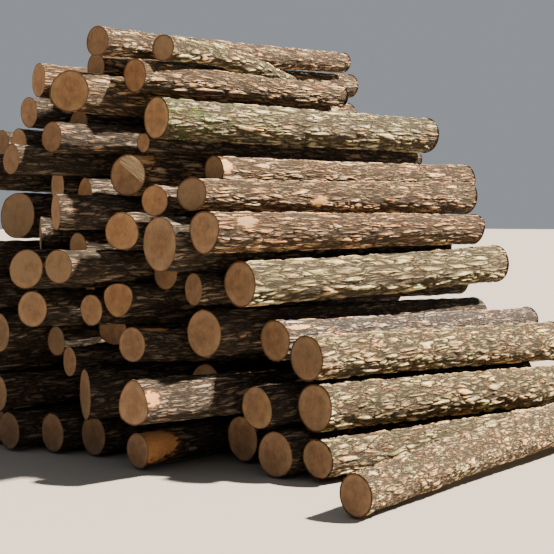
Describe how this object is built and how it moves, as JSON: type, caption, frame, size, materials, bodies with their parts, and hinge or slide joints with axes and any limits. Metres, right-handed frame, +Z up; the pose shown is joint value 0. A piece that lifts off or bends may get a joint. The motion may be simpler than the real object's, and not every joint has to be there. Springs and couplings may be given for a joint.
{
  "type": "stack of cross-cut round logs",
  "caption": "Stack of cross-cut oak logs with bark on, laid side by side in courses and settled into each other's hollows, with sawn ends facing one way.",
  "frame": {"origin": "middle of the ground under the stack", "axes": "+X along the logs, away from the sawn ends that the picture shows; +Y across the stack, from the foot of its open side; +Z up"},
  "size_m": [4.1612, 5.0092, 3.2559],
  "materials": {
    "log_wood": "fissured grey-brown oak bark with lichen, scraped patches and warm tan sawn ends"
  },
  "bodies": {
    "root": {"course_10_log_1": "log_wood", "course_10_log_2": "log_wood", "course_10_log_3": "log_wood", "course_11_log_1": "log_wood", "course_11_log_2": "log_wood", "course_11_log_3": "log_wood", "course_1_log_1": "log_wood", "course_1_log_2": "log_wood", "course_1_log_3": "log_wood", "course_1_log_4": "log_wood", "course_1_log_5": "log_wood", "course_2_log_1": "log_wood", "course_2_log_2": "log_wood", "course_2_log_3": "log_wood", "course_2_log_4": "log_wood", "course_2_log_5": "log_wood", "course_3_log_1": "log_wood", "course_3_log_2": "log_wood", "course_3_log_3": "log_wood", "course_3_log_4": "log_wood", "course_3_log_5": "log_wood", "course_4_log_1": "log_wood", "course_4_log_2": "log_wood", "course_4_log_3": "log_wood", "course_4_log_4": "log_wood", "course_4_log_5": "log_wood", "course_4_log_6": "log_wood", "course_5_log_1": "log_wood", "course_5_log_2": "log_wood", "course_5_log_3": "log_wood", "course_5_log_4": "log_wood", "course_6_log_1": "log_wood", "course_6_log_2": "log_wood", "course_6_log_3": "log_wood", "course_6_log_4": "log_wood", "course_6_log_5": "log_wood", "course_6_log_6": "log_wood", "course_6_log_7": "log_wood", "course_7_log_1": "log_wood", "course_7_log_2": "log_wood", "course_7_log_3": "log_wood", "course_7_log_4": "log_wood", "course_7_log_5": "log_wood", "course_7_log_6": "log_wood", "course_8_log_1": "log_wood", "course_8_log_2": "log_wood", "course_8_log_3": "log_wood", "course_8_log_4": "log_wood", "course_8_log_5": "log_wood", "course_8_log_6": "log_wood", "course_9_log_1": "log_wood", "course_9_log_2": "log_wood", "course_9_log_3": "log_wood", "course_9_log_4": "log_wood", "course_9_log_5": "log_wood", "far_slope_logs_1": "log_wood", "far_slope_logs_2": "log_wood", "far_slope_logs_3": "log_wood", "far_slope_logs_4": "log_wood"}
  },
  "joints": []
}
